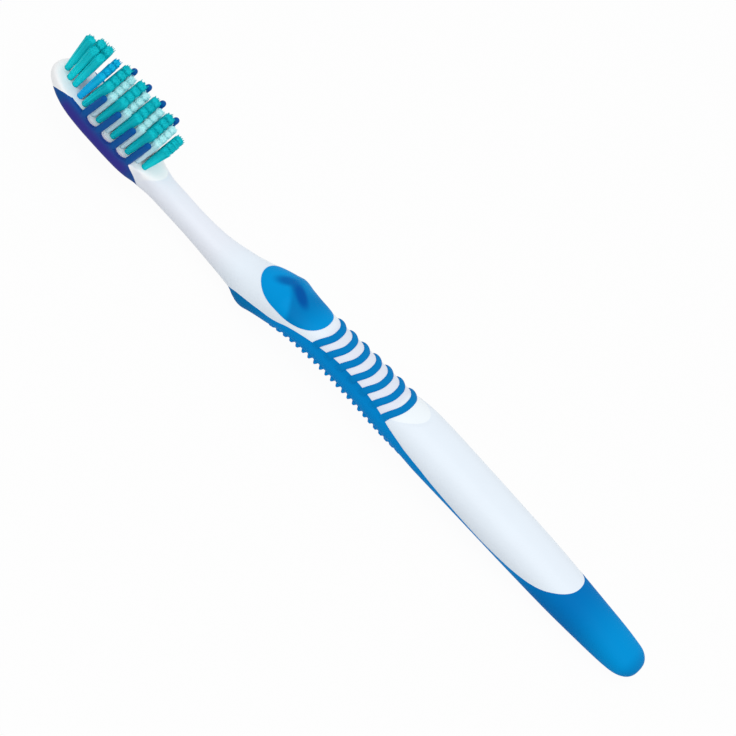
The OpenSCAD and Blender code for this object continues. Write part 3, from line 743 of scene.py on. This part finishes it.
def make_tuft(t, seed):
    """Bundle of fine filaments round a filled middle, which opens a little out of its hole."""
    rng = random.Random(seed)
    along = t.along * WIDER_ALONG.get(t.name, WIDER_ALONG.get(t.kind, PLAIN_WIDER_ALONG))
    across = t.across * WIDER_ACROSS
    m = at_tuft(t)
    foot = [(ANCHOR_H - HOLE_DEPTH, 1), (0, 1)]
    spread = (TUFT_D - FILAMENT_D) / 2
    end = t.length - CORE_TOP
    levels = foot + [(share * end, wide) for share, wide in CORE_SHARES]
    points = []
    for z, wide in levels:
        r = spread * CORE_W * wide * swelled(z)
        open_up = wide * spread * CORE_W * (max(0, z) / t.length) ** OPEN_BEND
        points += [placed(m, math.cos(b) * (r + (along * squared(b) - 1) * open_up),
                          math.sin(b) * (r + (across * squared(b) - 1) * open_up), z)
                   for b in circle(CORE_SIDES)]
    faces = tube_faces(0, len(levels), CORE_SIDES)
    for i in range(FILAMENTS):
        r = spread * math.sqrt((i + 0.5) / FILAMENTS)
        a = i * GOLDEN_ANGLE + rng.uniform(-TURN_JITTER, TURN_JITTER)
        base = Vector((r * math.cos(a), r * math.sin(a), 0))
        out_x = base.x * (along * squared(a) - 1) + rng.uniform(-ALONG_JITTER, ALONG_JITTER)
        out_y = base.y * (across * squared(a) - 1) + rng.uniform(-ACROSS_JITTER, ACROSS_JITTER)
        out = Vector((out_x, out_y, 0))
        top = t.length - rng.uniform(0, TIP_JITTER) - TIP_ROUND * (r / spread) ** 2
        levels = (foot + [(share * top, wide) for share, wide in FILAMENT_SHARES]
                  + [(top - drop, wide) for drop, wide in FILAMENT_TIP])
        faces += tube_faces(len(points), len(levels), FILAMENT_SIDES)
        for z, wide in levels:
            c = base * swelled(z) + out * (max(0, z) / top) ** OPEN_BEND
            points += [placed(m, c.x + FILAMENT_D / 2 * wide * math.cos(b + a),
                              c.y + FILAMENT_D / 2 * wide * math.sin(b + a), z)
                       for b in circle(FILAMENT_SIDES)]
    return new_object("bristles_" + t.name, points, faces)


# Materials

# How finely and how strongly the colour, the gloss and the surface vary
CLOUD_SCALE, CLOUD_DETAIL, GRAIN_SCALE, GRAIN_DETAIL = 160, 3, 9000, 2
ROUGH_VARY, BUMP_DISTANCE = 0.06, 0.00002


def material(name, rgb, rough, specular=0.5, grain=0.0, shade=0.04, shade_scale=CLOUD_SCALE):
    """Plastic whose colour, gloss and surface vary a little, as moulded plastic does."""
    mat = bpy.data.materials.new(name)
    mat.use_nodes = True
    nodes, links = mat.node_tree.nodes, mat.node_tree.links
    shader = nodes["Principled BSDF"]
    coords = nodes.new("ShaderNodeTexCoord")
    cloud = nodes.new("ShaderNodeTexNoise")
    cloud.inputs["Scale"].default_value = shade_scale
    cloud.inputs["Detail"].default_value = CLOUD_DETAIL
    links.new(coords.outputs["Object"], cloud.inputs["Vector"])
    mix = nodes.new("ShaderNodeMix")
    mix.data_type = "RGBA"
    mix.inputs["A"].default_value = (*[c * (1 - shade) for c in rgb], 1)
    mix.inputs["B"].default_value = (*[min(1, c * (1 + shade)) for c in rgb], 1)
    links.new(cloud.outputs["Fac"], mix.inputs["Factor"])
    links.new(mix.outputs["Result"], shader.inputs["Base Color"])
    gloss = nodes.new("ShaderNodeMapRange")
    gloss.inputs["To Min"].default_value = rough - ROUGH_VARY
    gloss.inputs["To Max"].default_value = rough + ROUGH_VARY
    links.new(cloud.outputs["Fac"], gloss.inputs["Value"])
    links.new(gloss.outputs["Result"], shader.inputs["Roughness"])
    if grain:
        fine = nodes.new("ShaderNodeTexNoise")
        fine.inputs["Scale"].default_value = GRAIN_SCALE
        fine.inputs["Detail"].default_value = GRAIN_DETAIL
        links.new(coords.outputs["Object"], fine.inputs["Vector"])
        bump = nodes.new("ShaderNodeBump")
        bump.inputs["Strength"].default_value = grain
        bump.inputs["Distance"].default_value = BUMP_DISTANCE
        links.new(fine.outputs["Fac"], bump.inputs["Height"])
        links.new(bump.outputs["Normal"], shader.inputs["Normal"])
    shader.inputs["Specular IOR Level"].default_value = specular
    return mat


def tint(mat, rgb, mask):
    """Mixes another colour into a material where a mask is 1."""
    nodes, links = mat.node_tree.nodes, mat.node_tree.links
    colour = nodes["Principled BSDF"].inputs["Base Color"]
    mix = nodes.new("ShaderNodeMix")
    mix.data_type = "RGBA"
    links.new(colour.links[0].from_socket, mix.inputs["A"])
    mix.inputs["B"].default_value = (*rgb, 1)
    links.new(mask, mix.inputs["Factor"])
    links.new(mix.outputs["Result"], colour)


def slope_mask(mat, way, start, end, most=1.0, mirrored=False):
    """Mask that rises from 0 to its most between two places, in millimetres along a way.

    A mirrored mask takes every coordinate as positive.
    """
    nodes, links = mat.node_tree.nodes, mat.node_tree.links
    place = nodes.new("ShaderNodeTexCoord").outputs["Object"]
    if mirrored:
        positive = nodes.new("ShaderNodeVectorMath")
        positive.operation = "ABSOLUTE"
        links.new(place, positive.inputs[0])
        place = positive.outputs["Vector"]
    dot = nodes.new("ShaderNodeVectorMath")
    dot.operation = "DOT_PRODUCT"
    dot.inputs[1].default_value = way
    links.new(place, dot.inputs[0])
    ramp = nodes.new("ShaderNodeMapRange")
    ramp.interpolation_type = "SMOOTHSTEP"
    ramp.inputs["From Min"].default_value = start * MM
    ramp.inputs["From Max"].default_value = end * MM
    ramp.inputs["To Max"].default_value = most
    links.new(dot.outputs["Value"], ramp.inputs["Value"])
    return ramp.outputs["Result"]


def spot_mask(mat, place, reach, edge, turn=0):
    """Mask over an oval spot: its middle, half sizes, share that is full, and turn."""
    nodes, links = mat.node_tree.nodes, mat.node_tree.links
    coords = nodes.new("ShaderNodeTexCoord")
    shift = nodes.new("ShaderNodeMapping")
    shift.vector_type = "TEXTURE"
    shift.inputs["Location"].default_value = [c * MM for c in place]
    shift.inputs["Rotation"].default_value = (0, 0, turn * DEG)
    shift.inputs["Scale"].default_value = [c * MM for c in reach]
    links.new(coords.outputs["Object"], shift.inputs["Vector"])
    size = nodes.new("ShaderNodeVectorMath")
    size.operation = "LENGTH"
    links.new(shift.outputs["Vector"], size.inputs[0])
    ramp = nodes.new("ShaderNodeMapRange")
    ramp.interpolation_type = "SMOOTHSTEP"
    ramp.inputs["From Min"].default_value = 1.0
    ramp.inputs["From Max"].default_value = edge
    links.new(size.outputs["Value"], ramp.inputs["Value"])
    return ramp.outputs["Result"]


def multiply(mat, a, b):
    """Mask where two masks overlap."""
    both = mat.node_tree.nodes.new("ShaderNodeMath")
    both.operation = "MULTIPLY"
    mat.node_tree.links.new(a, both.inputs[0])
    mat.node_tree.links.new(b, both.inputs[1])
    return both.outputs[0]


def tint_slopes(mat, *rows):
    """Tints along slopes, each given as a colour and what its slope mask takes."""
    for rgb, *mask in rows:
        tint(mat, rgb, slope_mask(mat, *mask))


def tint_spots(mat, *rows):
    """Tints over spots, each given as a colour and what its spot mask takes."""
    for rgb, *mask in rows:
        tint(mat, rgb, spot_mask(mat, *mask))


def finish_piece(o, mat, slot, *nodes, angle=SHARP_ANGLE):
    o.data.shade_smooth()
    o.data.set_sharp_from_angle(angle=angle * DEG)
    o.data.materials.clear()
    o.data.materials.append(mat)
    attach(o, "root")
    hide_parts(*nodes)


HEADWARD, TAILWARD, DOWNWARD = (-1, 0, 0), (1, 0, 0), (0, 0, -1)
# Direction out of the bristle face and the face's place along it
FACE = (math.sin(HEAD_TILT * DEG), 0, math.cos(HEAD_TILT * DEG))
FACE_LEVEL = head_z(0) * FACE[2]
INTO_FACE = (-FACE[0], 0, -FACE[2])

WHITE = material("white_plastic", (0.8, 0.875, 0.955), 0.3, specular=0.3, grain=0.08, shade=0.012)
# The neck, then painted light: the head whiter against the shade that its bristles cast, and a
# painted highlight on the tongue where its face ends on the neck
HEAD_PAINTED_LIGHT = (0.96, 0.97, 0.985)
tint_slopes(WHITE, ((0.815, 0.852, 0.93), HEADWARD, 32, 42), (HEAD_PAINTED_LIGHT, HEADWARD, 63.5, 67))
# Painted highlight of the facet at the end of the head's face
tint_spots(WHITE, (HEAD_PAINTED_LIGHT, (-66, 0, 8.6), (7.1, 5, 8), 0.93))
# Painted shade on the front between the ribs, darker and bluish, and painted light on the crescent
# where the front rises before the smooth oval
between_ribs_painted_shade = multiply(WHITE, slope_mask(WHITE, TAILWARD, -9, -7),
                  slope_mask(WHITE, HEADWARD, -15, -13.8))
tint(WHITE, (0.76, 0.8, 0.9), between_ribs_painted_shade)
# Painted light on the crescent of the rising front
crescent_painted_light = multiply(WHITE, spot_mask(WHITE, (OVAL_X, 0, 8), (10.55, 6.25, 40), 0.98),
                    slope_mask(WHITE, TAILWARD, 13.6, 15.4))
tint(WHITE, (0.88, 0.94, 0.98), crescent_painted_light)

BLUE = material("blue_grip_rubber", (0.0, 0.2, 0.53), 0.5, specular=0.03, grain=0.25, shade=0.05)
tint_slopes(
    BLUE,
    # Painted light and shade: the strip below the ribs lighter against the shade of the lower side,
    # then the strip darker toward the heel and toward the tail
    ((0.0, 0.255, 0.665), DOWNWARD, -11, -8.5),
    ((0.0, 0.178, 0.462), HEADWARD, 17, 27),
    ((0.0, 0.164, 0.49), TAILWARD, 56, 67, 0.95),
    # The tail cap painted lighter where light falls on it, and its end painted a little darker
    ((0.0, 0.28, 0.67), (0.9, 0, 0.35), 67, 83),
    ((0.0, 0.22, 0.56), TAILWARD, 91, 94.5))

GEL = material("bright_blue_gel", (0.0, 0.295, 0.7), 0.38, specular=0.03, grain=0.1, shade=0.04)
tint_slopes(
    GEL,
    # The shaded half of the dish behind its crease, and the lighter end toward the tail
    ((0.0, 0.18, 0.49), (-0.79, -0.615, 0), -18.5, -16.9, 0.9, True),
    ((0.0, 0.288, 0.69), (1, -0.1, 0), -17, -9.5))
tint_spots(
    GEL,
    # Painted shade of the dish: its far side, then two dark marks at its deepest place
    ((0.0, 0.25, 0.6), (-20, 4, 12), (6.5, 3.4, 5), 0.2),
    ((0.0, 0.135, 0.44), (-23.2, 0.6, 12.8), (4.5, 2.3, 4), 0.25, 37),
    ((0.0, 0.09, 0.37), (-18.7, -0.5, 13.3), (4.4, 2.3, 4), 0.35, -26))

INDIGO = material("indigo_rubber", (0.034, 0.031, 0.275), 0.45, specular=0.08, grain=0.2,
                  shade=0.06)
tint_slopes(
    INDIGO,
    # The two pointed ends of the sleeve, then the fingers
    ((0.004, 0.074, 0.3), HEADWARD, 86, 89),
    ((0.01, 0.07, 0.29), TAILWARD, -68, -64.5),
    ((0.0, 0.09, 0.35), FACE, FACE_LEVEL - 2.4, FACE_LEVEL + 1))

BRASS = material("anchor_brass", (0.62, 0.46, 0.2), 0.35, grain=0.3, shade=0.05)

# Bristles: colour at the tips and at the roots, roughness, gloss and variation; the roots are
# painted lighter against the shade deep in the tufts
BRISTLE_LOOKS = {
    "teal": ((0.003, 0.555, 0.63), (0.004, 0.72, 0.79), 0.45, 0.08, 0.1),
    "blue": ((0.003, 0.53, 0.82), (0.004, 0.53, 0.95), 0.45, 0.08, 0.1),
    "clear": ((0.54, 0.95, 1.0), (0.7, 0.92, 1.0), 0.4, 0.2, 0.05),
}
# Heights over the face between which the colour changes to the painted light of the roots, and how
# fine the variation is
TIPS_FROM, ROOTS_TO, BRISTLE_CLOUD_SCALE = 10, 3, 900


def bristle(kind):
    """Material of one kind of bristle, which changes colour from the tips to roots painted lighter
    against the shade deep in the tuft.
    """
    tips, roots, rough, specular, shade = BRISTLE_LOOKS[kind]
    mat = material(kind + "_bristle", tips, rough, specular=specular, shade=shade,
                   shade_scale=BRISTLE_CLOUD_SCALE)
    # Painted light: the roots lighter against the shade inside the tuft
    tint_slopes(mat, (roots, INTO_FACE, -FACE_LEVEL - TIPS_FROM, -FACE_LEVEL - ROOTS_TO))
    return mat


BRISTLE = {kind: bristle(kind) for kind in BRISTLE_LOOKS}

# Pieces

# Shapes that more than one piece is made from or cut by
body = make_body("body")
zone = parting_zone("zone")
tang = make_tang("tang")
ribs = union(make_rib(k) for k in range(RIB_COUNT))
plate = make_plate("plate")
sleeve_space = prism("sleeve_space", sleeve_outline(), HEAD_W)
sleeve_space = combine(sleeve_space, copy_of(plate, "plate_b"), "DIFFERENCE")

# Soft grip round the tang, with its ribs and its scalloped edges
grip = combine(copy_of(body, "rear_grip_moulding"), copy_of(zone, "zone_b"), "INTERSECT")
grip = combine(grip, copy_of(ribs, "ribs_b"), "UNION")
grip = combine(grip, union(make_ridge(k) for k in range(RIDGE_COUNT)), "UNION")
grip = combine(grip, copy_of(tang, "tang_b"), "DIFFERENCE")

# White core, less the grip, the sleeve, the pad and the holes of the tufts
soft = combine(combine(zone, ribs, "UNION"), tang, "DIFFERENCE")
core = combine(copy_of(body, "handle_core_moulding"), soft, "DIFFERENCE")
core = combine(core, copy_of(sleeve_space, "sleeve_space_b"), "DIFFERENCE")
core = combine(core, make_pad("pad_cut"), "DIFFERENCE")
core = combine(core, make_pad_air("pad_air"), "DIFFERENCE")
core = combine(core, make_holes("holes"), "DIFFERENCE")
raise_oval(core)

# Sleeve, hollowed between its fingers, which stay outside the plate
fingers = union(make_finger(k, side) for k in range(FINGER_COUNT) for side in (1, -1))
inner = combine(copy_of(body, "inner"), plate, "INTERSECT")
fingers = combine(fingers, inner, "DIFFERENCE")
sleeve = combine(body, sleeve_space, "INTERSECT")
sleeve.name = "head_sleeve_moulding"
for k in range(FINGER_COUNT - 1):
    sleeve = combine(sleeve, make_dip(k), "DIFFERENCE")
sleeve = combine(sleeve, fingers, "UNION")

finish_piece(core, WHITE, "white_plastic", "handle_core")
finish_piece(grip, BLUE, "blue_grip_rubber", "rear_grip")
finish_piece(make_pad("thumb_pad_moulding"), GEL, "bright_blue_gel", "thumb_pad")
finish_piece(sleeve, INDIGO, "indigo_rubber", "head_sleeve")
for i, t in enumerate(TUFTS):
    finish_piece(make_tuft(t, TUFT_SEED + i), BRISTLE[t.kind], t.kind + "_bristle", t.name,
                 angle=BRISTLE_SHARP_ANGLE)

# The anchors keep the part's own mesh
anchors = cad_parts["tuft_anchors"]
anchors.data.materials.clear()
anchors.data.materials.append(BRASS)

# Floor, light and camera

FLOOR_REACH, FLOOR_GREY, FLOOR_ROUGH, FLOOR_GLOW_SHARE = 3000, 0.7, 0.9, 0.96
WORLD_LIGHT, BACKDROP_LIGHT = 0.76, 0.98
KEY_PLACE, KEY_SIZE, KEY_POWER = (0.08, -0.3, 0.86), 0.95, 2.95
LENS, SENSOR, DISTANCE, CLIP_END = 325.0, 36.0, 1.5, 20
ELEVATION, ROLL = 45, 44.8
AIM = Vector((0.00338, 0.00293, 0.00848))


def mix_shaders(tree, factor, first, second, output):
    """Shows the first shader where a factor is 0 and the second where it is 1."""
    both = tree.nodes.new("ShaderNodeMixShader")
    tree.links.new(factor, both.inputs["Fac"])
    tree.links.new(first.outputs[0], both.inputs[1])
    tree.links.new(second.outputs[0], both.inputs[2])
    tree.links.new(both.outputs[0], tree.nodes[output].inputs["Surface"])


def make_floor():
    """Floor that the camera sees mostly as a white glow, with a little of its shadow."""
    r = FLOOR_REACH
    floor = new_object("floor", [(-r, -r, 0), (r, -r, 0), (r, r, 0), (-r, r, 0)], [(0, 1, 2, 3)])
    mat = bpy.data.materials.new("floor_white")
    mat.use_nodes = True
    nodes, links = mat.node_tree.nodes, mat.node_tree.links
    shader = nodes["Principled BSDF"]
    shader.inputs["Base Color"].default_value = (FLOOR_GREY, FLOOR_GREY, FLOOR_GREY, 1)
    shader.inputs["Roughness"].default_value = FLOOR_ROUGH
    glow = nodes.new("ShaderNodeEmission")
    glow.inputs["Strength"].default_value = 1.0
    path = nodes.new("ShaderNodeLightPath")
    seen = nodes.new("ShaderNodeMath")
    seen.operation = "MAXIMUM"
    links.new(path.outputs["Is Camera Ray"], seen.inputs[0])
    links.new(path.outputs["Is Glossy Ray"], seen.inputs[1])
    share = nodes.new("ShaderNodeMath")
    share.operation = "MULTIPLY"
    share.inputs[1].default_value = FLOOR_GLOW_SHARE
    links.new(seen.outputs[0], share.inputs[0])
    mix_shaders(mat.node_tree, share.outputs[0], shader, glow, "Material Output")
    floor.data.materials.append(mat)


def make_world():
    """Even white light, with a brighter backdrop that only the camera sees."""
    world = bpy.data.worlds.new("studio")
    scene.world = world
    world.use_nodes = True
    nodes = world.node_tree.nodes
    light = nodes["Background"]
    light.inputs["Color"].default_value = (1, 1, 1, 1)
    light.inputs["Strength"].default_value = WORLD_LIGHT
    backdrop = nodes.new("ShaderNodeBackground")
    backdrop.inputs["Color"].default_value = (1, 1, 1, 1)
    backdrop.inputs["Strength"].default_value = BACKDROP_LIGHT
    path = nodes.new("ShaderNodeLightPath")
    mix_shaders(world.node_tree, path.outputs["Is Camera Ray"], light, backdrop, "World Output")


def make_key():
    """Large soft light from above and a little from the near side."""
    data = bpy.data.lights.new("key", "AREA")
    data.shape = "SQUARE"
    data.size = KEY_SIZE
    data.energy = KEY_POWER
    key = bpy.data.objects.new("key", data)
    key.location = KEY_PLACE
    key.rotation_euler = (-Vector(KEY_PLACE)).to_track_quat("-Z", "Y").to_euler()
    scene.collection.objects.link(key)


def make_camera():
    """Distant camera, rolled so that the brush lies aslant in the picture."""
    data = bpy.data.cameras.new("camera")
    data.lens = LENS
    data.sensor_width = SENSOR
    data.clip_end = CLIP_END
    camera = bpy.data.objects.new("camera", data)
    back = Vector((0, -math.cos(ELEVATION * DEG), math.sin(ELEVATION * DEG)))
    right = Vector((1, 0, 0))
    up = back.cross(right)
    turn = Matrix.Rotation(ROLL * DEG, 3, back)
    right, up = turn @ right, turn @ up
    camera.matrix_world = Matrix((
        (right.x, up.x, back.x, AIM.x + back.x * DISTANCE),
        (right.y, up.y, back.y, AIM.y + back.y * DISTANCE),
        (right.z, up.z, back.z, AIM.z + back.z * DISTANCE),
        (0, 0, 0, 1)))
    scene.collection.objects.link(camera)
    scene.camera = camera


make_floor()
make_world()
make_key()
make_camera()
scene.view_settings.view_transform = "Standard"
